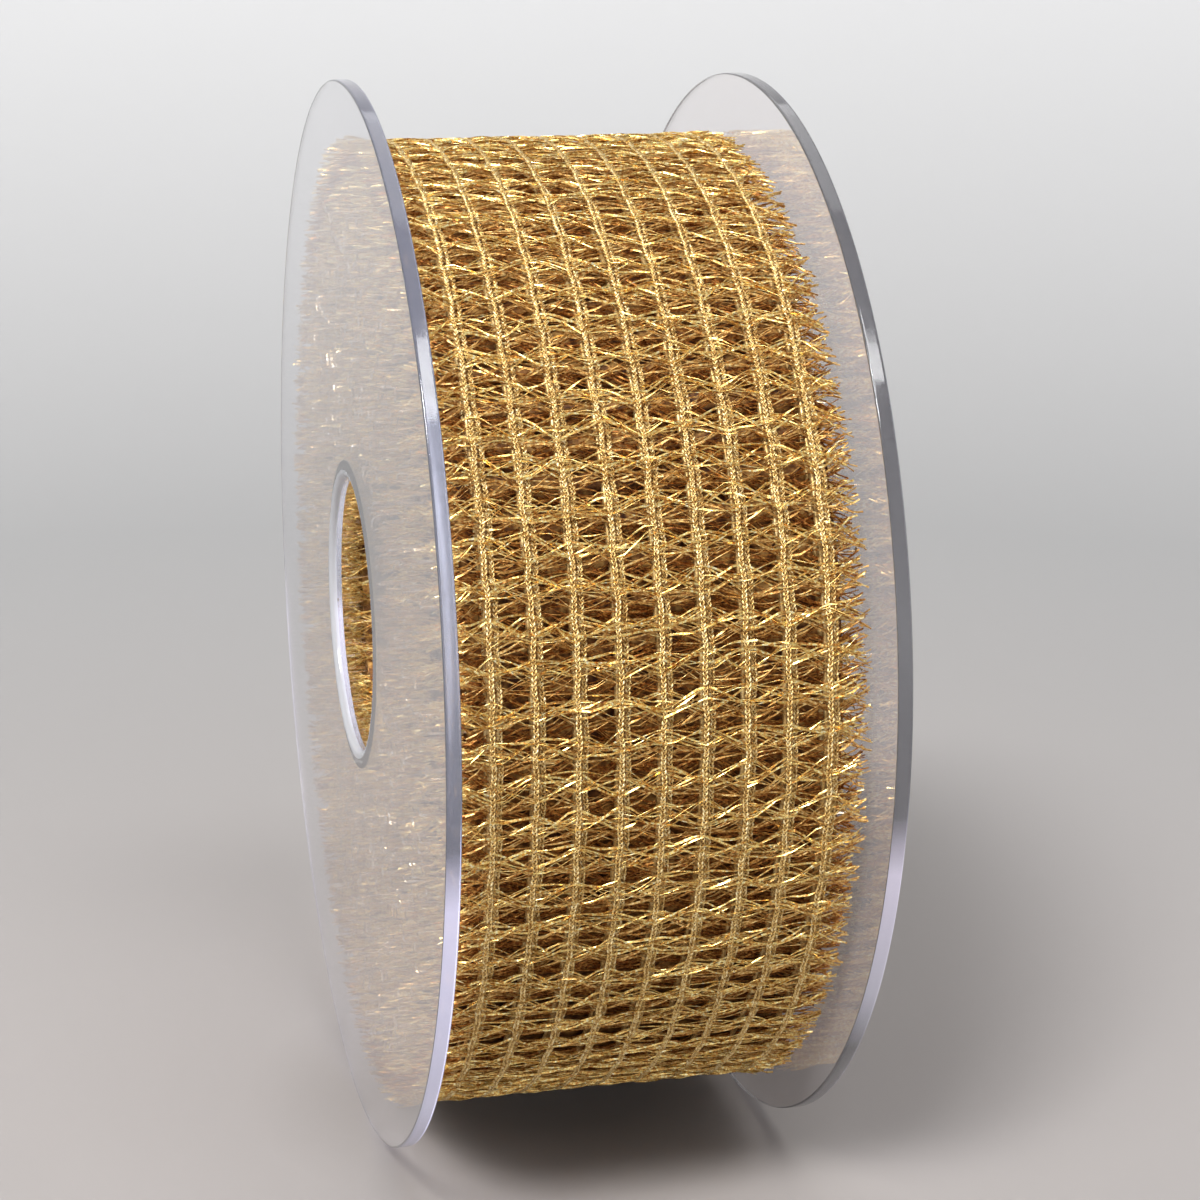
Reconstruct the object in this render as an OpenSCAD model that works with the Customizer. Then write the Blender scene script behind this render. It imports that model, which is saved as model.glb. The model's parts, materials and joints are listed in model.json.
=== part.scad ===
// Ribbon spool: a clear two-part spool with a hub bore, wound with one long lattice ribbon.
// The spool's axis is +Y, the origin is the centre of the hub, and the spool stands on its two rims.
// Angles round the axis are measured from +X towards +Z. All sizes are in millimetres.

/* [Spool] */
// Diameter of the two flanges
flange_d = 115; // [112:1:150]
// Width of the spool over both flanges
spool_w = 44.5; // [44:0.5:80]
// Thickness of each flange
flange_t = 1.5; // [1:0.1:2.5]
// Chamfer on the flange rims
rim_chamfer = 0.25; // [0.1:0.05:0.4]
// Diameter of the hub's bore
bore_d = 30; // [24:0.2:40]
// Chamfer at the two mouths of the bore
bore_lip = 0.8; // [0.2:0.1:0.9]
// Wall thickness of the hub
hub_wall = 1.8; // [1.6:0.1:3]

/* [Push fit between the halves] */
// Length of the spigot inside the hub
spigot_len = 12; // [6:1:18]
// Radial clearance between spigot and socket
fit_gap = 0.05; // [0.02:0.01:0.1]
// Gap left at each end of the spigot when the halves are together
end_gap = 0.05; // [0.02:0.01:0.2]

/* [Ribbon] */
// Width of the ribbon from fringe tip to fringe tip
ribbon_w = 40; // [24:1:40]
// How far the wound ribbon sits off centre
ribbon_shift = -0.4; // [-0.4:0.1:0.4]
// Diameter of the roll over its outermost cords
roll_d = 105.2; // [70:0.2:108]
// How far the wound ribbon hangs below the spool's axis
roll_sag = 1.2; // [0:0.1:1.5]
// Number of warp cords across the ribbon
cord_count = 9; // [3:1:9]
// Spacing of the warp cords
cord_pitch = 4.1; // [2.5:0.1:4.2]
// Thickness of a warp cord
cord_d = 0.7; // [0.6:0.1:1.2]
// Spacing of the weft bars along the ribbon
weft_pitch = 3.8; // [3:0.1:6]
// Thickness of a weft bar
weft_d = 0.44; // [0.3:0.02:0.6]

/* [Loose end] */
// Angle at which the loose end leaves the roll
tail_start = 97; // [92:1:110]
// Angle covered by each of the three stretches of the loose end
tail_step = 25; // [15:1:27]
// Gap between neighbouring stretches
tail_gap = 0.3; // [0.2:0.05:0.5]
// Thickness of the net between the cords of the loose end
net_t = 0.3; // [0.2:0.05:0.5]

/* [Tapes] */
// Thickness of both tapes
tape_t = 0.12; // [0.08:0.01:0.15]
// Width of the tape that holds the loose end
end_tape_w = 18; // [8:1:24]
// Angle covered by the tape that holds the loose end
end_tape_angle = 14; // [8:1:20]
// Length along the axis of the tape that holds the ribbon on the hub
start_tape_w = 24; // [10:1:30]
// Angle covered by the tape that holds the ribbon on the hub
start_tape_angle = 40; // [20:1:60]
// Angle of the middle of the tape on the hub
start_tape_at = 198; // [0:1:359]

/* [Hidden] */
TAIL_STEPS = 3;
CORD_NODES = [for (i = [1:cord_count]) str("warp_cord_", i)];
TAIL_NODES = [for (i = [1:TAIL_STEPS]) str("ribbon_tail_", i)];

$fn = 180;
CORD_FN = 24;

half_w = spool_w / 2;
flange_r = flange_d / 2;
bore_r = bore_d / 2;
hub_r = bore_r + hub_wall;
spigot_r = bore_r + hub_wall / 2 - fit_gap;
socket_y = half_w - flange_t - spigot_len;

// Radii of the ribbon's layers, from the outside in.
cord_r = roll_d / 2 - cord_d / 2;
layer_gap = 0.28;
core_gap = 0.03;
weft_r = cord_r - cord_d / 2 - layer_gap - weft_d / 2;
core_r = weft_r - weft_d / 2 - core_gap;
hub_play = 0.3;
core_inset = 0.5;
weft_count = floor(2 * PI * weft_r / weft_pitch);

tail_end = tail_start + TAIL_STEPS * tail_step;
tail_gap_angle = tail_gap / cord_r * 180 / PI;
tape_clear = 0.25;
start_tape_clear = 0.03;

clear_plastic = [0.86, 0.88, 0.9, 0.45];
gold = [0.74, 0.55, 0.24];
pale_gold = [0.85, 0.68, 0.36];
clear_tape = [0.93, 0.92, 0.86, 0.6];

// Turns a profile drawn as (radius, y) about the Y axis, through angle, from start.
module about_y(angle = 360, start = 0) {
    rotate([90, 0, 0])
        rotate([0, 0, start])
            rotate_extrude(angle = angle)
                mirror([0, 1, 0])
                    children();
}

// A band between two radii and two places along the axis.
module band(r_in, r_out, y_low, y_high, angle = 360, start = 0) {
    about_y(angle, start)
        translate([r_in, y_low])
            square([r_out - r_in, y_high - y_low]);
}

// Lowers what is drawn about the spool's axis to the middle of the wound ribbon, which hangs a little low.
module on_roll() {
    translate([0, 0, -roll_sag])
        children();
}

// Place of a warp cord along the axis, counted from 1 at the left.
function cord_y(i) = ribbon_shift + (i - (cord_count + 1) / 2) * cord_pitch;

// One warp cord of the outermost turn, along part of the turn.
module cord_arc(i, angle, start) {
    on_roll()
        about_y(angle, start)
            translate([cord_r, cord_y(i)])
                circle(d = cord_d, $fn = CORD_FN);
}

// Left half: a flange and the whole hub, with a socket turned in the hub's far end.
module left_half() {
    color(clear_plastic)
        about_y()
            polygon([
                [bore_r, -half_w + bore_lip],
                [bore_r + bore_lip, -half_w],
                [flange_r - rim_chamfer, -half_w],
                [flange_r, -half_w + rim_chamfer],
                [flange_r, -half_w + flange_t - rim_chamfer],
                [flange_r - rim_chamfer, -half_w + flange_t],
                [hub_r, -half_w + flange_t],
                [hub_r, half_w - flange_t - end_gap],
                [spigot_r + fit_gap, half_w - flange_t - end_gap],
                [spigot_r + fit_gap, socket_y],
                [bore_r, socket_y]
            ]);
}

// Right half: a flange with the spigot that pushes into the hub.
module right_half() {
    color(clear_plastic)
        about_y()
            polygon([
                [bore_r, socket_y + end_gap],
                [spigot_r, socket_y + end_gap],
                [spigot_r, half_w - flange_t],
                [flange_r - rim_chamfer, half_w - flange_t],
                [flange_r, half_w - flange_t + rim_chamfer],
                [flange_r, half_w - rim_chamfer],
                [flange_r - rim_chamfer, half_w],
                [bore_r + bore_lip, half_w],
                [bore_r, half_w - bore_lip]
            ]);
}

// Tape on the hub that holds the ribbon's inner end.
module start_tape() {
    color(clear_tape)
        band(hub_r + start_tape_clear, hub_r + start_tape_clear + tape_t,
            ribbon_shift - start_tape_w / 2, ribbon_shift + start_tape_w / 2,
            start_tape_angle, start_tape_at - start_tape_angle / 2);
}

// The wound ribbon below its outermost cords, as one closed ring.
module ribbon_roll() {
    y_low = ribbon_shift - ribbon_w / 2 + core_inset;
    y_high = ribbon_shift + ribbon_w / 2 - core_inset;
    color(gold)
        difference() {
            on_roll()
                band(0, core_r, y_low, y_high);
            band(0, hub_r + hub_play, y_low - 1, y_high + 1);
        }
}

// The weft bundles of the outermost turn, with their ends standing out as the fringe.
module weft_bars() {
    color(gold)
        on_roll()
            for (i = [0:weft_count - 1])
                rotate([0, -i * 360 / weft_count, 0])
                    translate([weft_r, ribbon_shift + ribbon_w / 2, 0])
                        rotate([90, 0, 0])
                            cylinder(d = weft_d, h = ribbon_w, $fn = CORD_FN);
}

// One warp cord of the outermost turn, from the loose end's tip round to where it leaves.
module warp_cord(i) {
    color(pale_gold)
        cord_arc(i, 360 - TAIL_STEPS * tail_step - 2 * tail_gap_angle, tail_end + tail_gap_angle);
}

// One stretch of the loose end: its net and its cords.
module ribbon_tail(step) {
    start = tail_start + (step - 1) * tail_step + tail_gap_angle / 2;
    angle = tail_step - tail_gap_angle;
    color(gold) {
        on_roll()
            band(cord_r - net_t / 2, cord_r + net_t / 2,
                ribbon_shift - ribbon_w / 2, ribbon_shift + ribbon_w / 2, angle, start);
        for (i = [1:cord_count])
            cord_arc(i, angle, start);
    }
}

// Tape across the tip of the loose end, which holds it down on the turn below.
module end_tape() {
    r_in = roll_d / 2 + tape_clear;
    color(clear_tape)
        on_roll()
            band(r_in, r_in + tape_t,
                ribbon_shift - end_tape_w / 2, ribbon_shift + end_tape_w / 2,
                end_tape_angle, tail_end - end_tape_angle / 2);
}

left_half();
right_half();
start_tape();
ribbon_roll();
weft_bars();
for (i = [1:cord_count])
    warp_cord(i);
for (i = [1:TAIL_STEPS])
    ribbon_tail(i);
end_tape();
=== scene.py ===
"""Ribbon spool: a clear two-part spool, wound with 10 m of gold lattice ribbon.

Everything is in metres, in the CAD model's frame: the spool's axis is +Y, and angles round it are measured
from +X towards +Z.
"""

import json
import math

import bpy
import numpy as np
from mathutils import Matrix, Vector


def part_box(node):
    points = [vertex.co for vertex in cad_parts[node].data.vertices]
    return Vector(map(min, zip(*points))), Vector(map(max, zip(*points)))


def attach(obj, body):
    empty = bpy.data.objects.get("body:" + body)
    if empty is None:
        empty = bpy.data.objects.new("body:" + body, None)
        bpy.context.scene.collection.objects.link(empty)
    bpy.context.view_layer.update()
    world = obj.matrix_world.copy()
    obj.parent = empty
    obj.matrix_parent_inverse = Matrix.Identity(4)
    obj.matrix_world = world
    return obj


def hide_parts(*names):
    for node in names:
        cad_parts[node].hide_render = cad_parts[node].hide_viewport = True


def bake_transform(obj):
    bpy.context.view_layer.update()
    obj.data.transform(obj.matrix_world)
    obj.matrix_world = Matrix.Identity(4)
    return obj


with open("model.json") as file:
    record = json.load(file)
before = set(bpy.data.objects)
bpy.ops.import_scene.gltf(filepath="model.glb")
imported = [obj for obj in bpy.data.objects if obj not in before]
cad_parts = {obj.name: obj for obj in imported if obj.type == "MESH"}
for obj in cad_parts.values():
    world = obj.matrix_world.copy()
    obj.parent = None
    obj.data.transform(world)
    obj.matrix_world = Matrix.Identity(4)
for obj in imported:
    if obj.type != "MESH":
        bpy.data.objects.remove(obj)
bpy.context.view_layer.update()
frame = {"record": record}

MM = 0.001
TAU = 2 * math.pi
rng = np.random.default_rng(11)

# ---------------------------------------------------------------- sizes

_, left_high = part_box("left_half")
right_low, right_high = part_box("right_half")
cord_low, cord_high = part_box("warp_cord_5")

FLANGE_R = left_high.x
HALF_W = right_high.y
BORE_R = frame["record"]["mounts"][0]["dims"]["r_mm"] * MM
FLANGE_T = 1.5 * MM
HUB_WALL = 1.8 * MM
BORE_LIP = 0.8 * MM
SPIGOT_IN = right_low.y
HUB_END = left_high.y
FIT_GAP = 0.05 * MM
HUB_R = BORE_R + HUB_WALL
SOCKET_R = BORE_R + HUB_WALL / 2
SPIGOT_R = SOCKET_R - FIT_GAP
RIM_ROUNDING = 0.22 * MM
EDGE_ROUNDING = 0.04 * MM
# How far in from the flange's edge the rim's own material reaches.
RIM_DEPTH = 0.1 * MM
TOLERANCE = 0.01 * MM
SHARP_ANGLE = math.radians(35)

RIBBON_LENGTH = 10.0
RIBBON_W = 40 * MM
CORDS = 9
CORD_PITCH = 4.1 * MM
WEFT_PITCH = 3.8 * MM
# The roll's radius over the cords, and how far its middle hangs below the spool's axis.
ROLL_R = cord_high.x
ROLL_SAG = -(cord_low.z + cord_high.z) / 2
# The radii of the ribbon's middle on its outermost and its innermost turn, and what a turn adds between them.
R_OUT = ROLL_R - 0.35 * MM
R_IN = HUB_R + 0.71 * MM
TURN_RISE = math.pi * (R_OUT**2 - R_IN**2) / RIBBON_LENGTH
# How far the ribbon winds in all, and where its outer end lies round the spool.
PHI_END = TAU * (R_OUT - R_IN) / TURN_RISE
TAIL_END = math.radians(172)

# The loose end's hinges, and where each of its stretches ends, as angles round the spool.
HINGES = [math.radians(a) for a in (97, 122, 147)]
STRETCH_END = [math.radians(a) for a in (109.5, 134.5, 172)]

# ---------------------------------------------------------------- node helpers


def new_material(name):
    """A material with an empty tree but for its output. Returns the material, its nodes and its links."""
    mat = bpy.data.materials.new(name)
    mat.use_nodes = True
    nodes = mat.node_tree.nodes
    nodes.clear()
    nodes.new("ShaderNodeOutputMaterial")
    return mat, nodes, mat.node_tree.links


def add(nodes, kind, **inputs):
    """A node with some of its inputs set, by name with _ for a space."""
    node = nodes.new(kind)
    for key, value in inputs.items():
        node.inputs[key.replace("_", " ")].default_value = value
    return node


def ramp(nodes, stops):
    """A colour ramp from (position, colour) stops."""
    node = nodes.new("ShaderNodeValToRGB")
    band = node.color_ramp
    band.elements[0].position, band.elements[0].color = stops[0][0], (*stops[0][1], 1)
    band.elements[1].position, band.elements[1].color = stops[-1][0], (*stops[-1][1], 1)
    for position, colour in stops[1:-1]:
        band.elements.new(position).color = (*colour, 1)
    return node


# ---------------------------------------------------------------- materials

PLASTIC_IOR = 1.57
DUST_COLOUR = (0.52, 0.49, 0.485)
# The backdrop by level distance from the spool's middle: painted shade under it, a warm floor, a bit darker
# near the spool as painted shadow, a neutral floor, and a wall painted paler in place of light on it.
STAGE_SHADE_AND_LIGHT_STOPS = [
    (0.012, (0.22, 0.195, 0.18)),
    (0.034, (0.35, 0.322, 0.31)),
    (0.3, (0.38, 0.377, 0.377)),
    (0.8, (0.74, 0.74, 0.745)),
]


def filament_material(name, stops, roughness, scale, metallic):
    """Metallised film, whose colour and gloss vary from place to place. scale is how finely they do."""
    mat, nodes, links = new_material(name)
    where = nodes.new("ShaderNodeTexCoord")
    tint = add(nodes, "ShaderNodeTexNoise", Scale=scale, Detail=2.0, Roughness=0.6)
    colours = ramp(nodes, stops)
    gloss = add(nodes, "ShaderNodeTexNoise", Scale=scale * 2.3, Detail=1.0)
    spread = add(nodes, "ShaderNodeMapRange", To_Min=roughness - 0.1, To_Max=roughness + 0.12)
    shader = add(nodes, "ShaderNodeBsdfPrincipled", Metallic=metallic)
    links.new(where.outputs["Object"], tint.inputs["Vector"])
    links.new(where.outputs["Object"], gloss.inputs["Vector"])
    links.new(tint.outputs["Fac"], colours.inputs["Fac"])
    links.new(colours.outputs["Color"], shader.inputs["Base Color"])
    links.new(gloss.outputs["Fac"], spread.inputs["Value"])
    links.new(spread.outputs["Result"], shader.inputs["Roughness"])
    links.new(shader.outputs["BSDF"], nodes["Material Output"].inputs["Surface"])
    return mat


def clear_material(name, tint, shade, roughness, haze_scale, ior=PLASTIC_IOR, clarity=1.0, dust_and_painted_light=0.0, painted_glow=()):
    """Clear plastic with handling marks in its gloss. It lets lamplight through, coloured by shade.

    clarity is the share of light that isn't scattered. The sheen weight is a film that pales the plastic
    where it is seen edge on: dust, and, where one flange gets more of it than the other, painted light.
    The glow stops are (height, colour), the height in flange radii. They set an emission that is painted
    light: it stands in for the light that the sheet pipes to its edge.
    """
    mat, nodes, links = new_material(name)
    where = nodes.new("ShaderNodeTexCoord")
    haze = add(nodes, "ShaderNodeTexNoise", Scale=haze_scale, Detail=4.0)
    spread = add(nodes, "ShaderNodeMapRange", From_Min=0.35, From_Max=0.75)
    spread.inputs["To Min"].default_value = roughness
    spread.inputs["To Max"].default_value = roughness * 3
    shader = add(nodes, "ShaderNodeBsdfPrincipled", IOR=ior, Transmission_Weight=clarity, Sheen_Weight=dust_and_painted_light)
    shader.inputs["Sheen Tint"].default_value = (*DUST_COLOUR, 1)
    shader.inputs["Base Color"].default_value = (*tint, 1)
    # Painted light: a glow set by height, in place of the light that the sheet pipes to its edge.
    if painted_glow:
        height = nodes.new("ShaderNodeSeparateXYZ")
        level = add(nodes, "ShaderNodeMapRange", From_Min=-FLANGE_R, From_Max=FLANGE_R)
        colours = ramp(nodes, [((stop + 1) / 2, colour) for stop, colour in painted_glow])
        links.new(where.outputs["Object"], height.inputs["Vector"])
        links.new(height.outputs["Z"], level.inputs["Value"])
        links.new(level.outputs["Result"], colours.inputs["Fac"])
        links.new(colours.outputs["Color"], shader.inputs["Emission Color"])
        shader.inputs["Emission Strength"].default_value = 1.0
    passing = nodes.new("ShaderNodeBsdfTransparent")
    passing.inputs["Color"].default_value = (*shade, 1)
    path = nodes.new("ShaderNodeLightPath")
    mix = nodes.new("ShaderNodeMixShader")
    links.new(where.outputs["Object"], haze.inputs["Vector"])
    links.new(haze.outputs["Fac"], spread.inputs["Value"])
    links.new(spread.outputs["Result"], shader.inputs["Roughness"])
    links.new(path.outputs["Is Shadow Ray"], mix.inputs[0])
    links.new(shader.outputs["BSDF"], mix.inputs[1])
    links.new(passing.outputs["BSDF"], mix.inputs[2])
    links.new(mix.outputs["Shader"], nodes["Material Output"].inputs["Surface"])
    return mat


def stage_material():
    """Matt backdrop: a warm grey floor that pales into a neutral grey wall, with painted shade under the
    spool and the paling painted in place of light.
    """
    mat, nodes, links = new_material("backdrop")
    where = nodes.new("ShaderNodeTexCoord")
    flat = add(nodes, "ShaderNodeVectorMath")
    flat.operation = "MULTIPLY"
    flat.inputs[1].default_value = (1, 1, 0)
    reach = nodes.new("ShaderNodeVectorMath")
    reach.operation = "LENGTH"
    colours = ramp(nodes, STAGE_SHADE_AND_LIGHT_STOPS)
    shader = add(nodes, "ShaderNodeBsdfPrincipled", Roughness=0.8)
    links.new(where.outputs["Object"], flat.inputs[0])
    links.new(flat.outputs["Vector"], reach.inputs[0])
    links.new(reach.outputs["Value"], colours.inputs["Fac"])
    links.new(colours.outputs["Color"], shader.inputs["Base Color"])
    links.new(shader.outputs["BSDF"], nodes["Material Output"].inputs["Surface"])
    return mat


# The deeper a turn lies in the roll, the darker and redder it is coloured: painted shade for the light that
# comes back from it, as the strands are all one film.
GOLD_STOPS = [
    (0.3, (0.38, 0.13, 0.03)),
    (0.42, (0.68, 0.38, 0.1)),
    (0.5, (0.8, 0.53, 0.17)),
    (0.58, (0.86, 0.7, 0.26)),
    (0.7, (1.0, 0.93, 0.66)),
]
PAINTED_SHADE_STOPS = [(0.3, (0.34, 0.12, 0.03)), (0.5, (0.7, 0.41, 0.12)), (0.68, (0.92, 0.72, 0.34))]
PAINTED_DEEP_SHADE_STOPS = [(0.3, (0.16, 0.045, 0.01)), (0.5, (0.44, 0.17, 0.035)), (0.68, (0.75, 0.44, 0.12))]
TURNS_PAINTED_SHADE_STOPS = [(0.35, (0.06, 0.018, 0.005)), (0.5, (0.22, 0.09, 0.02)), (0.65, (0.5, 0.28, 0.08))]
TIPS_STOPS = [(0.3, (0.75, 0.42, 0.16)), (0.5, (0.95, 0.72, 0.42)), (0.66, (1.0, 0.95, 0.88))]
CORD_GOLD_STOPS = [(0.32, (0.36, 0.19, 0.05)), (0.5, (0.78, 0.54, 0.2)), (0.66, (1.0, 0.85, 0.5))]
CORD_PAINTED_SHADE_STOPS = [(0.3, (0.36, 0.2, 0.06)), (0.5, (0.64, 0.44, 0.17)), (0.7, (0.88, 0.7, 0.36))]

weft_gold = filament_material("weft_gold", GOLD_STOPS, roughness=0.3, scale=3200, metallic=0.88)
# Darker copies of the same film for the woven turns below the outer one: painted shade.
weft_painted_shade = filament_material("weft_painted_shade", PAINTED_SHADE_STOPS, roughness=0.4, scale=2900, metallic=0.8)
weft_painted_deep_shade = filament_material("weft_painted_deep_shade", PAINTED_DEEP_SHADE_STOPS, roughness=0.45, scale=2600, metallic=0.75)
fringe_gold = filament_material("fringe_gold", GOLD_STOPS, roughness=0.4, scale=2600, metallic=0.4)
weft_tips = filament_material("weft_tips", TIPS_STOPS, roughness=0.22, scale=1500, metallic=0.8)
cord_gold = filament_material("cord_gold", CORD_GOLD_STOPS, roughness=0.4, scale=2300, metallic=0.75)
# A darker copy of the cords' film, for the cords deep in the roll and at its edges: painted shade.
cord_painted_shade = filament_material("cord_painted_shade", CORD_PAINTED_SHADE_STOPS, roughness=0.45, scale=1900, metallic=0.7)
# A near-black copy of the film for the strip of deep turns: painted shade.
turns_painted_shade = filament_material("turns_painted_shade", TURNS_PAINTED_SHADE_STOPS, roughness=0.5, scale=900, metallic=0.5)

# The rims' painted glow by height, in flange radii: an emission in place of the light that the sheet pipes to
# them.
LEFT_RIM_PAINTED_GLOW = [
    (-0.9, (0, 0, 0)),
    (-0.7, (0.27, 0.26, 0.33)),
    (-0.45, (0.42, 0.4, 0.52)),
    (-0.25, (0.5, 0.47, 0.62)),
    (-0.14, (0, 0, 0)),
]
RIGHT_RIM_PAINTED_GLOW = [(-0.64, (0, 0, 0)), (-0.5, (0.26, 0.25, 0.3)), (-0.25, (0.44, 0.4, 0.5)), (-0.14, (0, 0, 0))]
FLANGE_LOOK = {"shade": (0.9, 0.9, 0.91), "roughness": 0.012, "haze_scale": 60, "clarity": 0.98}
RIM_LOOK = {"shade": (0.45, 0.45, 0.48), "roughness": 0.05, "haze_scale": 400}

# The two flanges are one plastic. The far one has a paler tint and more sheen, and the near one a greyer
# tint: painted light and painted shade that set how bright each looks.
left_flange = clear_material("left_flange", (0.82, 0.82, 0.845), dust_and_painted_light=0.12, **FLANGE_LOOK)
right_flange = clear_material("right_flange", (0.91, 0.885, 0.89), dust_and_painted_light=0.25, **FLANGE_LOOK)
spool_hub = clear_material("spool_hub", (0.93, 0.92, 0.9), (0.9, 0.9, 0.9), roughness=0.03, haze_scale=60)
hub_lip = clear_material(
    "hub_lip", (0.86, 0.87, 0.92), (0.8, 0.8, 0.82), roughness=0.1, haze_scale=400, clarity=0.5
)
# The two rims are one plastic: the near one is tinted paler and bluer, and the far one greyer and darker, as
# painted light and painted shade.
left_rim = clear_material("left_rim", (0.52, 0.55, 0.74), clarity=0.87, painted_glow=LEFT_RIM_PAINTED_GLOW, **RIM_LOOK)
right_rim = clear_material("right_rim", (0.42, 0.43, 0.48), clarity=0.9, painted_glow=RIGHT_RIM_PAINTED_GLOW, **RIM_LOOK)
tape_clear = clear_material(
    "tape_clear", (0.97, 0.96, 0.92), (0.95, 0.95, 0.94), roughness=0.1, haze_scale=300, ior=1.2
)

# ---------------------------------------------------------------- mesh helpers


def make_mesh(name, verts, faces, material, smooth=True):
    """An object from an (n, 3) array of points and a list of (m, k) arrays of faces with k corners."""
    mesh = bpy.data.meshes.new(name)
    corners = np.concatenate([f.ravel() for f in faces]).astype(np.int32)
    sizes = np.concatenate([np.full(len(f), f.shape[1], np.int32) for f in faces])
    starts = np.concatenate([[0], np.cumsum(sizes)[:-1]]).astype(np.int32)
    mesh.vertices.add(len(verts))
    mesh.vertices.foreach_set("co", np.asarray(verts, np.float32).ravel())
    mesh.loops.add(len(corners))
    mesh.loops.foreach_set("vertex_index", corners)
    mesh.polygons.add(len(sizes))
    mesh.polygons.foreach_set("loop_start", starts)
    mesh.polygons.foreach_set("loop_total", sizes)
    mesh.polygons.foreach_set("use_smooth", np.full(len(sizes), smooth))
    mesh.update(calc_edges=True)
    mesh.materials.append(material)
    obj = bpy.data.objects.new(name, mesh)
    bpy.context.scene.collection.objects.link(obj)
    return obj


def sweep(points, across, up, profile):
    """Closed tubes along polylines, as their points and faces.

    points, across and up are (tubes, rings, 3), with across x up along the tube. profile is the tubes'
    section, as (across, up) corners in its last two axes, and may change from ring to ring or tube to tube.
    """
    tubes, rings, _ = points.shape
    corners = profile.shape[-2]
    shape = np.broadcast_to(profile, (tubes, rings, corners, 2))
    verts = points[:, :, None] + across[:, :, None] * shape[..., :1] + up[:, :, None] * shape[..., 1:]
    index = np.arange(tubes * rings * corners).reshape(tubes, rings, corners)
    following = np.roll(index, -1, axis=2)
    walls = np.stack([index[:, :-1], following[:, :-1], following[:, 1:], index[:, 1:]], -1).reshape(-1, 4)
    first = index[:, 0, ::-1]
    last = index[:, -1]
    return verts.reshape(-1, 3), [walls, first, last]


def tube_object(name, points, across, up, profile, material, smooth=True):
    """An object of the tubes that sweep() makes."""
    verts, faces = sweep(points, across, up, profile)
    return make_mesh(name, verts, faces, material, smooth)


def lathe(name, outline, materials, choose, steps=360):
    """A solid of revolution about Y, from a closed outline of (radius, y) points.

    The points are listed so that the faces look out. choose(r, y) gives the material, by its place in the
    list, of the face whose middle is there.
    """
    angles = np.arange(steps) * TAU / steps
    outline = np.array(outline)
    verts = np.stack(
        [
            np.outer(np.cos(angles), outline[:, 0]),
            np.tile(outline[:, 1], (steps, 1)),
            np.outer(np.sin(angles), outline[:, 0]),
        ],
        -1,
    )
    index = np.arange(steps * len(outline)).reshape(steps, len(outline))
    following = np.roll(index, -1, axis=0)
    faces = np.stack([index, np.roll(index, -1, 1), np.roll(following, -1, 1), following], -1).reshape(-1, 4)
    obj = make_mesh(name, verts.reshape(-1, 3), [faces], materials[0])
    for material in materials[1:]:
        obj.data.materials.append(material)
    middles = (outline + np.roll(outline, -1, axis=0)) / 2
    chosen = [choose(r, y) for r, y in middles]
    obj.data.polygons.foreach_set("material_index", np.tile(chosen, steps).astype(np.int32))
    obj.data.set_sharp_from_angle(angle=SHARP_ANGLE)
    return obj


def rounded(corners, steps=5, support=0.08 * MM):
    """An outline with its corners rounded: corners are (radius, y, rounding).

    A supporting point on each side of a corner keeps the flat faces flat under smooth shading.
    """
    points = []
    count = len(corners)
    for i, (r, y, rounding) in enumerate(corners):
        here = Vector((r, y))
        before = (Vector(corners[i - 1][:2]) - here).normalized()
        after = (Vector(corners[(i + 1) % count][:2]) - here).normalized()
        points.append(here + before * (rounding + support))
        for k in range(steps + 1):
            t = k / steps
            points.append(here + before * rounding * (1 - t) ** 2 + after * rounding * t**2)
        points.append(here + after * (rounding + support))
    return [(p.x, p.y) for p in points]


# ---------------------------------------------------------------- the spool


def left_outline():
    """The near flange and the hub, with the socket at the hub's far end."""
    return rounded(
        [
            (BORE_R, -HALF_W, BORE_LIP),
            (FLANGE_R, -HALF_W, RIM_ROUNDING),
            (FLANGE_R, -HALF_W + FLANGE_T, RIM_ROUNDING),
            (HUB_R, -HALF_W + FLANGE_T, EDGE_ROUNDING),
            (HUB_R, HUB_END, EDGE_ROUNDING),
            (SOCKET_R, HUB_END, EDGE_ROUNDING),
            (SOCKET_R, SPIGOT_IN - FIT_GAP, EDGE_ROUNDING),
            (BORE_R, SPIGOT_IN - FIT_GAP, EDGE_ROUNDING),
        ]
    )


def right_outline():
    """The far flange and the spigot."""
    return rounded(
        [
            (BORE_R, SPIGOT_IN, EDGE_ROUNDING),
            (SPIGOT_R, SPIGOT_IN, EDGE_ROUNDING),
            (SPIGOT_R, HALF_W - FLANGE_T, EDGE_ROUNDING),
            (FLANGE_R, HALF_W - FLANGE_T, RIM_ROUNDING),
            (FLANGE_R, HALF_W, RIM_ROUNDING),
            (BORE_R, HALF_W, BORE_LIP),
        ]
    )


# The places of a flange, the hub, a rim and the lip of the bore in the spool's lists of materials.
ON_FLANGE, ON_HUB, ON_RIM, ON_LIP = range(4)


def spool_part(r, y):
    """Which part of the spool is there."""
    if r > FLANGE_R - RIM_DEPTH:
        return ON_RIM
    if r < BORE_R + BORE_LIP and abs(y) > HALF_W - BORE_LIP:
        return ON_LIP
    if r < HUB_R + TOLERANCE and abs(y) < HALF_W - FLANGE_T:
        return ON_HUB
    return ON_FLANGE


left = lathe("spool_left", left_outline(), [left_flange, spool_hub, left_rim, hub_lip], spool_part)
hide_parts("left_half")
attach(left, "spool")

right = lathe("spool_right", right_outline(), [right_flange, spool_hub, right_rim, hub_lip], spool_part)
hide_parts("right_half")
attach(right, "right_side")

# ---------------------------------------------------------------- the ribbon's course

TURN_DRIFT = 0.42 * MM


def radius_at(phi):
    """The wound ribbon's radius at winding angle phi, counted back from its outer end at 0 to -PHI_END."""
    return R_OUT + TURN_RISE * phi / TAU


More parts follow.
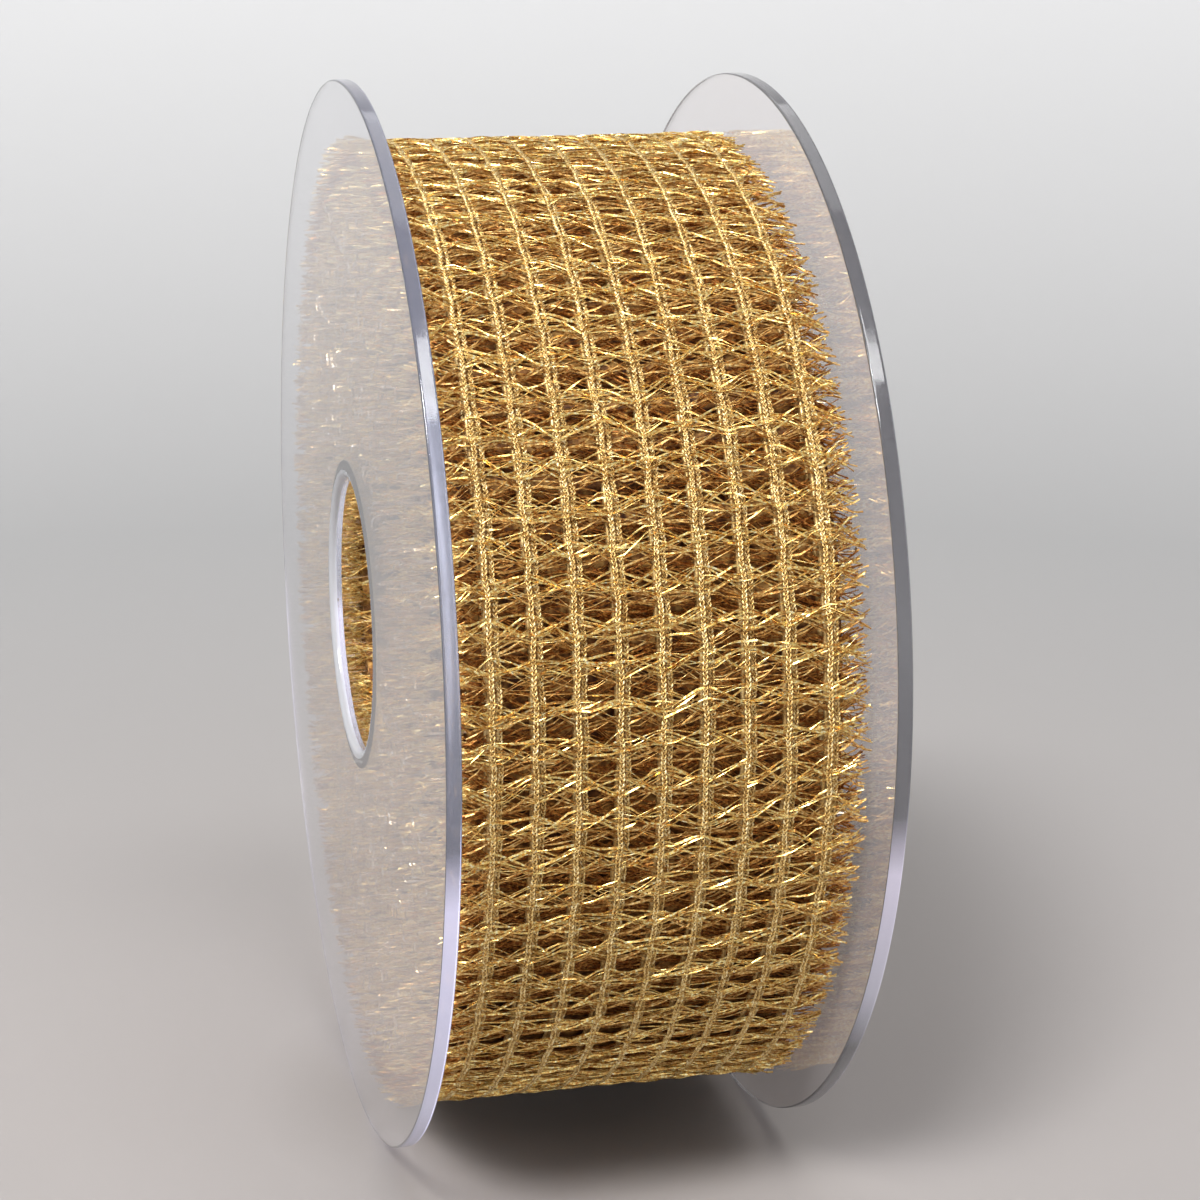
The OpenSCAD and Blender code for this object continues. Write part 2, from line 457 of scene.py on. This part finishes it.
def drift_at(phi):
    """How far the ribbon lies to the side there: turns lie alternately left and right, deep ones by less."""
    turns_deep = -phi / TAU
    less = np.clip(1.1 - 0.02 * turns_deep, 0.3, 1)
    return -TURN_DRIFT * np.cos(np.pi * (0.4 - turns_deep)) * less


def place(phi, y, height):
    """Points of the wound ribbon at winding angle phi, y across the ribbon and height above its middle.

    The turns hang lower the farther they are from the hub.
    """
    angle = phi + TAIL_END
    r = radius_at(phi) + height
    sag = ROLL_SAG * (r - R_IN) / (R_OUT - R_IN)
    return np.stack([r * np.cos(angle), y + drift_at(phi), r * np.sin(angle) - sag], -1)


def axes_at(phi):
    """Unit vectors along the ribbon, across it and out of the roll."""
    angle = phi + TAIL_END
    zero = np.zeros_like(angle)
    along = np.stack([-np.sin(angle), zero, np.cos(angle)], -1)
    out = np.stack([np.cos(angle), zero, np.sin(angle)], -1)
    return along, np.broadcast_to(np.array([0.0, 1.0, 0.0]), along.shape), out


def cord_y(i):
    """Where warp cord i lies across the ribbon."""
    return (i - (CORDS - 1) / 2) * CORD_PITCH


def turned(across, up, twist):
    """across and up, turned by twist about the tube."""
    c, s = np.cos(twist)[..., None], np.sin(twist)[..., None]
    return across * c + up * s, up * c - across * s


def rows_between(start, end):
    """Winding angles of the weft rows from start to end, a weft pitch apart along the ribbon."""
    rows = []
    phi = end
    while phi > start:
        rows.append(phi)
        phi -= WEFT_PITCH / float(radius_at(phi))
    return np.array(rows)


# ---------------------------------------------------------------- filaments and cords

EDGE_CORD_Y = cord_y(CORDS - 1)
FRINGE_ROOT_Y = EDGE_CORD_Y - 0.2 * MM
FILAMENT_SECTION = np.array([[[-0.5, -0.15], [0.5, -0.15], [0.5, 0.15], [-0.5, 0.15]]])
FRINGE_SECTION = np.array([[[-0.5, -0.2], [0.5, -0.2], [0.0, 0.3]]])
PRESSED_SECTION = np.array([[[-0.5, -0.12], [0.5, -0.12], [0.0, 0.12]]])

# How the filaments stray, in millimetres. Reach, rise, kink, bulge and slant are (mean, spread), with the
# reach measured past the ribbon's edge. The others are (least, most).
WEFT_SWING = (0.1, 1.5)
WEFT_REACH = (-0.35, 0.28)
WEFT_RISE = (0, 0.09)
WEFT_END_RISE = (0, 0.3)
WEFT_KINK = (0, 0.16)
WEFT_BULGE = (0.12, 0.1)
WEFT_WIDTH = (0.12, 0.25)
FRINGE_START = (-1.3, 1.3)
FRINGE_REACH = (-0.6, 0.3)
FRINGE_RISE = (0, 0.22)
FRINGE_WIDTH = (0.14, 0.26)
PRESSED_LENGTH = (0.4, 1.6)
PRESSED_RISE = (0, 0.1)
PRESSED_SLANT = (0, 0.5)
PRESSED_WIDTH = (0.12, 0.3)

# How often a weft filament takes the side whose turn it is at a cord, and the spreads of the twists.
WEFT_IN_TURN = 0.88
WEFT_TWIST = 0.75
FRINGE_TWIST = 0.5
PRESSED_TWIST = 0.9


def wefts(name, start, end, material, per_row=8, steps=4):
    """The weft of a stretch of ribbon.

    In each row several flat filaments cross between the cords and stand out past the edge cords as the
    fringe. Between cords they bulge outwards.
    """
    rows = rows_between(start, end)
    count = len(rows) * per_row
    home = np.repeat(rows, per_row)
    knots = CORDS + 2

    # At each cord a filament lies ahead of its row or behind it, and it mostly changes sides at the next one.
    side = np.tile(np.where(np.arange(per_row) % 2, 1.0, -1.0), len(rows))
    swing = rng.uniform(*WEFT_SWING, (count, knots)) * MM
    flip = np.where(rng.random((count, knots)) < WEFT_IN_TURN, 1.0, -1.0)
    alternate = np.where(np.arange(knots) % 2, 1.0, -1.0)
    offset = side[:, None] * alternate * flip * swing
    knot_h = rng.normal(*WEFT_RISE, (count, knots)) * MM
    knot_y = np.array([-RIBBON_W / 2, *[cord_y(i) for i in range(CORDS)], RIBBON_W / 2])
    knot_y = np.tile(knot_y, (count, 1))
    knot_y[:, 0] = np.maximum(knot_y[:, 0] - rng.normal(*WEFT_REACH, count) * MM, -RIBBON_W / 2)
    knot_y[:, -1] = np.minimum(knot_y[:, -1] + rng.normal(*WEFT_REACH, count) * MM, RIBBON_W / 2)
    knot_h[:, [0, -1]] = rng.normal(*WEFT_END_RISE, (count, 2)) * MM

    # Between cords it eases from one place to the next, with a kink of its own.
    t = np.linspace(0, knots - 1, (knots - 1) * steps + 1)
    cell = np.minimum(t.astype(int), knots - 2)
    part = t - cell
    ease = part * part * (3 - 2 * part) * 0.6 + part * 0.4
    y = knot_y[:, cell] * (1 - part) + knot_y[:, cell + 1] * part
    s = offset[:, cell] * (1 - ease) + offset[:, cell + 1] * ease
    kink = rng.normal(*WEFT_KINK, (count, knots)) * MM
    s += np.sin(np.pi * part) * kink[:, cell] + np.sin(TAU * part) * np.roll(kink, 1, 1)[:, cell] * 0.6
    bulge = np.sin(np.pi * part) * rng.normal(*WEFT_BULGE, (count, 1)) * MM
    h = knot_h[:, cell] * (1 - ease) + knot_h[:, cell + 1] * ease + bulge
    phi = home[:, None] + s / radius_at(home)[:, None]
    phi = np.minimum(phi, end + 0.5 * MM / R_OUT)

    points = place(phi, y, h)
    along, across, out = axes_at(phi)
    twist = np.cumsum(rng.normal(0, WEFT_TWIST, phi.shape), axis=1) + rng.uniform(0, TAU, (count, 1))
    a, u = turned(along, out, twist)
    width = rng.uniform(*WEFT_WIDTH, (count, 1, 1, 1)) * MM
    return tube_object(name, points, a, u, FILAMENT_SECTION * width, material, smooth=False)


def ring_profile(radius, corners):
    """A round section for sweep()."""
    angles = np.arange(corners) * TAU / corners
    return radius * np.stack([np.cos(angles), np.sin(angles)], -1)[None]


STRANDS = 3
STRAND_R = 0.115 * MM
STITCH = 1.5 * MM
PLAIT_HALF_W = 0.21 * MM
PLAIT_HALF_T = 0.12 * MM


def plaited_cord(name, i, start, end, step=0.2 * MM):
    """Warp cord i: strands plaited like a knitted chain."""
    count = int((end - start) * R_OUT / step)
    phi = np.linspace(start, end, count)
    stitch = phi * R_OUT / STITCH * TAU
    wander = 0.06 * MM * np.sin(phi * 41 + i * 2.1) + 0.05 * MM * np.sin(phi * 97 + i)
    strands = np.arange(STRANDS)[:, None] * TAU / STRANDS
    y = cord_y(i) + wander + PLAIT_HALF_W * np.sin(stitch + strands)
    h = 0.03 * MM + PLAIT_HALF_T * np.sin(2 * (stitch + strands))
    phi = np.broadcast_to(phi, y.shape)
    points = place(phi, y, h)
    along, across, out = axes_at(phi)
    swell = 1 + 0.25 * np.sin(stitch * 1.7 + 2 * strands)[..., None, None]
    return tube_object(name, points, -across, out, ring_profile(STRAND_R, 4) * swell, cord_gold)


def plain_cord(name, i, start, end, material, step=1.1 * MM, corners=5, radius=0.28 * MM):
    """Warp cord i where it lies deeper in the roll, as one tube."""
    count = int((end - start) * (R_OUT + R_IN) / 2 / step)
    phi = np.linspace(start, end, max(count, 8))[None]
    points = place(phi, cord_y(i) + 0.05 * MM * np.sin(phi * 37), 0)
    along, across, out = axes_at(phi)
    return tube_object(name, points, -across, out, ring_profile(radius, corners), material)


def fringe(name, sign, start, end, per_row=6):
    """The weft ends standing out past one edge cord, on turns deep in the roll."""
    rows = rows_between(start, end)
    count = len(rows) * per_row
    home = np.repeat(rows, per_row)[:, None]
    t = np.linspace(0, 1, 4)[None]
    tip = RIBBON_W / 2 + np.minimum(rng.normal(*FRINGE_REACH, (count, 1)), -0.1) * MM
    y = sign * (FRINGE_ROOT_Y + (tip - FRINGE_ROOT_Y) * t)
    s0 = rng.uniform(*FRINGE_START, (count, 1)) * MM
    s1 = s0 * rng.uniform(-1.0, 0.4, (count, 1))
    s = s0 + (s1 - s0) * t
    h = rng.normal(*FRINGE_RISE, (count, 1)) * MM * t**1.5
    phi = home + s / radius_at(home)
    points = place(phi, y, h)
    along, across, out = axes_at(phi)
    twist = rng.uniform(0, TAU, (count, 1)) + rng.normal(0, FRINGE_TWIST, phi.shape)
    a, u = turned(along * sign, out, twist)
    width = rng.uniform(*FRINGE_WIDTH, (count, 1, 1, 1)) * MM
    return tube_object(name, points, a, u, FRINGE_SECTION * width, fringe_gold, smooth=False)


def pressed_ends(name, sign, start, end, count=1800):
    """The longest weft ends: they reach the flange on that side and lie bent flat against it."""
    phi = rng.uniform(start, end, (count, 1))
    face = HALF_W - FLANGE_T - 0.08 * MM
    root = FRINGE_ROOT_Y
    y = sign * np.array([root, (root + face) / 2, face - 0.15 * MM, face, face, face])
    length = rng.uniform(*PRESSED_LENGTH, (count, 1)) * MM
    inwards_or_out = np.where(rng.random((count, 1)) < 0.5, -1, 1)
    lying = length * inwards_or_out
    h = rng.normal(*PRESSED_RISE, (count, 1)) * MM + lying * np.array([0, 0, 0.05, 0.2, 0.6, 1.0])
    s = rng.normal(*PRESSED_SLANT, (count, 1)) * MM * np.array([0, 0.5, 0.7, 0.8, 1.0, 1.3])
    phi = phi + s / radius_at(phi)
    points = place(phi, y - drift_at(phi), h)

    # The axes of each tube's sections follow its bend.
    ahead = np.gradient(points, axis=1)
    ahead /= np.linalg.norm(ahead, axis=-1, keepdims=True)
    along, _, _ = axes_at(phi)
    across = along - ahead * (along * ahead).sum(-1, keepdims=True)
    across /= np.linalg.norm(across, axis=-1, keepdims=True)
    twist = rng.normal(0, PRESSED_TWIST, (count, 1)) + np.zeros_like(phi)
    a, u = turned(across, np.cross(ahead, across), twist)
    width = rng.uniform(*PRESSED_WIDTH, (count, 1, 1, 1)) * MM
    return tube_object(name, points, a, u, PRESSED_SECTION * width, weft_tips, smooth=False)


def strip(name, start, end, half_width, columns=9, step=2.2 * MM):
    """The wound ribbon deep in the roll, as one thin strip that follows the winding, dark as painted shade.
    """
    count = int((end - start) * (R_OUT + R_IN) / 2 / step)
    phi = np.linspace(start, end, count)[:, None]
    y = np.linspace(-half_width, half_width, columns)[None]
    waves = 0.07 * MM * np.sin(phi * 23 + y / MM * 0.4) + 0.05 * MM * np.sin(phi * 61)
    phi, y = np.broadcast_arrays(phi, y)
    verts = place(phi, y, waves).reshape(-1, 3)
    index = np.arange(count * columns).reshape(count, columns)
    faces = np.stack([index[:-1, :-1], index[:-1, 1:], index[1:, 1:], index[1:, :-1]], -1).reshape(-1, 4)
    return make_mesh(name, verts, [faces], turns_painted_shade)


# ---------------------------------------------------------------- the ribbon's pieces

# How many turns are woven in full at the outside and on the hub, and have plaited cords at the outside.
OUTER_TURNS = 4
INNER_TURNS = 1.5
PLAITED_TURNS = 1.5
# How many pieces each side's fringe has, and how many turns below the woven ones the pressed ends begin.
FRINGE_PARTS = 3
PRESSED_DEPTH = 3
# Where the loose end leaves the roll, at its first hinge, and where the roll's stretches begin and end, as
# winding angles.
TAIL_START = HINGES[0] - TAIL_END
outer_start = TAIL_START - OUTER_TURNS * TAU
inner_end = -PHI_END + INNER_TURNS * TAU
plaited_start = TAIL_START - PLAITED_TURNS * TAU
pressed_end = outer_start - PRESSED_DEPTH * TAU


def on_spool(obj):
    """Has a piece ride with the spool."""
    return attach(obj, "spool")


turns = strip("ribbon_turns", inner_end, outer_start, EDGE_CORD_Y + 1.6 * MM)
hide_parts("ribbon_roll")
on_spool(turns)

plaited, deep, hub_cords = [], [], []
for i in range(CORDS):
    cord = plaited_cord(f"warp_{i + 1}", i, plaited_start, TAIL_START)
    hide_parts(f"warp_cord_{i + 1}")
    plaited.append(cord)
    deep.append(plain_cord(f"warp_{i + 1}_deep", i, outer_start, plaited_start, cord_painted_shade))
    hub_cords.append(plain_cord(f"warp_{i + 1}_hub", i, -PHI_END, inner_end, cord_gold, step=0.8 * MM))
for cord in plaited + deep + hub_cords:
    on_spool(cord)

# The outer turn has the film's own colour, and the turns below it have darker copies: painted shade.
NET_LOOKS = [weft_gold, weft_painted_shade, weft_painted_deep_shade, weft_painted_deep_shade]
for k in range(OUTER_TURNS):
    start, end = TAIL_START - (k + 1) * TAU, TAIL_START - k * TAU
    net = wefts(f"net_turn_{k + 1}", start, end, NET_LOOKS[k])
    on_spool(net)
    if k == 0:
        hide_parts("weft_bars")
hub_net = wefts("net_hub_turn", -PHI_END, inner_end, weft_gold, steps=2)
on_spool(hub_net)

for sign, side, i in ((-1, "left", 0), (1, "right", CORDS - 1)):
    reaches = np.linspace(inner_end, outer_start, FRINGE_PARTS + 1)
    for k in range(FRINGE_PARTS):
        ends = fringe(f"fringe_{side}_{k + 1}", sign, reaches[k], reaches[k + 1])
        on_spool(ends)
    ends = pressed_ends(f"fringe_{side}_pressed", sign, inner_end, pressed_end)
    on_spool(ends)
    cord = plain_cord(f"edge_cord_{side}", i, inner_end, outer_start, cord_painted_shade)
    on_spool(cord)

for k in range(3):
    start = TAIL_START if k == 0 else STRETCH_END[k - 1] - TAIL_END
    end = STRETCH_END[k] - TAIL_END
    net = wefts(f"tail_net_{k + 1}", start, end, weft_gold)
    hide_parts(f"ribbon_tail_{k + 1}")
    cords = [plaited_cord(f"tail_cord_{k + 1}_{i + 1}", i, start, end) for i in range(CORDS)]
    for piece in [net, *cords]:
        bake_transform(piece)

# ---------------------------------------------------------------- tapes

TAPE_T = 0.06 * MM
END_TAPE_SPAN = (math.radians(165), math.radians(179))
START_TAPE_SPAN = (math.radians(178), math.radians(218))
# The tape's radius on the loose end, and the angle in which it steps down from there.
TAIL_TOP = R_OUT + 0.36 * MM
STEP_ANGLE = math.radians(2.5)


def tape(name, span, cad_tape, height, sag, rows=40, columns=24):
    """A patch of clear tape over a span of angles, as wide as the CAD tape.

    height(angle) is its radius, round an axis that lies sag below the spool's.
    """
    low_corner, high_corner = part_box(cad_tape)
    angles = np.linspace(*span, rows)
    ys = np.linspace(low_corner.y, high_corner.y, columns)
    radii = np.array([height(a) for a in angles])
    grid = []
    # The film's two faces share the same faint waves.
    for lift in (0.0, TAPE_T):
        r = (radii + lift)[:, None] + 0.03 * MM * np.sin(angles * 90)[:, None] * np.cos(ys / MM * 0.9)[None]
        z = r * np.sin(angles)[:, None] - sag
        grid.append(np.stack([r * np.cos(angles)[:, None], np.broadcast_to(ys, r.shape), z], -1))
    verts = np.concatenate([g.reshape(-1, 3) for g in grid])
    low = np.arange(rows * columns).reshape(rows, columns)
    high = low + rows * columns
    faces = [
        np.stack([low[:-1, :-1], low[:-1, 1:], low[1:, 1:], low[1:, :-1]], -1).reshape(-1, 4)[:, ::-1],
        np.stack([high[:-1, :-1], high[:-1, 1:], high[1:, 1:], high[1:, :-1]], -1).reshape(-1, 4),
    ]
    ring = np.concatenate([low[0, :-1], low[:-1, -1], low[-1, :0:-1], low[:0:-1, 0]])
    after = np.roll(ring, -1)
    faces.append(np.stack([ring, after, after + rows * columns, ring + rows * columns], -1))
    return make_mesh(name, verts, faces, tape_clear)


def end_tape_height(angle):
    """The tape lies on the loose end, then steps down to the turn below."""
    t = min(max((angle - TAIL_END) / STEP_ANGLE, 0.0), 1.0)
    return TAIL_TOP - TURN_RISE * 0.9 * t * t * (3 - 2 * t)


def start_tape_height(angle):
    """The tape lies flat on the hub."""
    return HUB_R + 0.08 * MM


end_tape = tape("end_tape_clear", END_TAPE_SPAN, "end_tape", end_tape_height, ROLL_SAG)
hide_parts("end_tape")
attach(end_tape, "tail_tip")

start_tape = tape("start_tape_clear", START_TAPE_SPAN, "start_tape", start_tape_height, 0)
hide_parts("start_tape")
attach(start_tape, "spool")

# ---------------------------------------------------------------- stage, lights and camera


def backdrop(name, flat_r, bend_r, top, z, material, steps=128):
    """The studio floor: a flat disc at height z that bends up into a round wall, which ends at height top."""
    quarter = np.linspace(0, math.pi / 2, 25)
    bend = [(flat_r + bend_r * math.sin(a), z + bend_r * (1 - math.cos(a))) for a in quarter]
    outline = np.array([(0.02, z), (flat_r * 0.5, z), *bend, (flat_r + bend_r, top)])
    angles = np.arange(steps) * TAU / steps
    r, height = outline.T
    heights = np.tile(height, (steps, 1))
    verts = np.stack([np.outer(np.cos(angles), r), np.outer(np.sin(angles), r), heights], -1)
    index = np.arange(steps * len(r)).reshape(steps, len(r))
    following = np.roll(index, -1, axis=0)
    walls = np.stack([index[:, :-1], index[:, 1:], following[:, 1:], following[:, :-1]], -1).reshape(-1, 4)
    centre = index[None, :, 0]
    return make_mesh(name, verts.reshape(-1, 3), [walls, centre], material)


def area_light(name, place_at, target, size, power):
    """A rectangular lamp that faces target: size is its sides, and power is in watts."""
    data = bpy.data.lights.new(name, "AREA")
    data.shape = "RECTANGLE"
    data.size, data.size_y = size
    data.energy = power
    obj = bpy.data.objects.new(name, data)
    bpy.context.scene.collection.objects.link(obj)
    obj.location = place_at
    obj.rotation_mode = "QUATERNION"
    obj.rotation_quaternion = (Vector(target) - Vector(place_at)).to_track_quat("-Z", "Y")
    return obj


floor = backdrop("floor", flat_r=0.3, bend_r=1.3, top=1.4, z=-FLANGE_R, material=stage_material())

world = bpy.data.worlds.new("studio")
bpy.context.scene.world = world
world.use_nodes = True
world.node_tree.nodes["Background"].inputs["Color"].default_value = (1.0, 0.99, 0.98, 1)
world.node_tree.nodes["Background"].inputs["Strength"].default_value = 0.15

area_light("key", (0.68, -0.56, 1.02), target=(-0.1, 0, 0), size=(0.34, 0.34), power=20)
area_light("top", (0.4, 0.17, 0.75), target=(0, 0, 0), size=(0.25, 0.25), power=2)
area_light("back", (-0.75, 0.1, 1.0), target=(-0.8, 0.1, 0), size=(0.9, 1.2), power=4.2)

# The camera of the reference view: how far it stands in flange radii, where it looks and its lens.
VIEW_FROM = Vector((5.2336, -1.1557, 1.3653)) * FLANGE_R
VIEW_PITCH = math.radians(14.24)
VIEW_HEADING = math.radians(76.49)
LENS_MM = 85.98
SENSOR_MM = 36

camera_data = bpy.data.cameras.new("camera")
camera_data.sensor_width = SENSOR_MM
camera_data.lens = LENS_MM
camera_data.clip_start = 0.01
camera = bpy.data.objects.new("camera", camera_data)
bpy.context.scene.collection.objects.link(camera)
heading = Vector(
    (
        -math.sin(VIEW_HEADING) * math.cos(VIEW_PITCH),
        math.cos(VIEW_HEADING) * math.cos(VIEW_PITCH),
        -math.sin(VIEW_PITCH),
    )
)
camera.location = VIEW_FROM
camera.rotation_euler = heading.to_track_quat("-Z", "Y").to_euler()
bpy.context.scene.camera = camera
bpy.context.scene.view_settings.view_transform = "Standard"
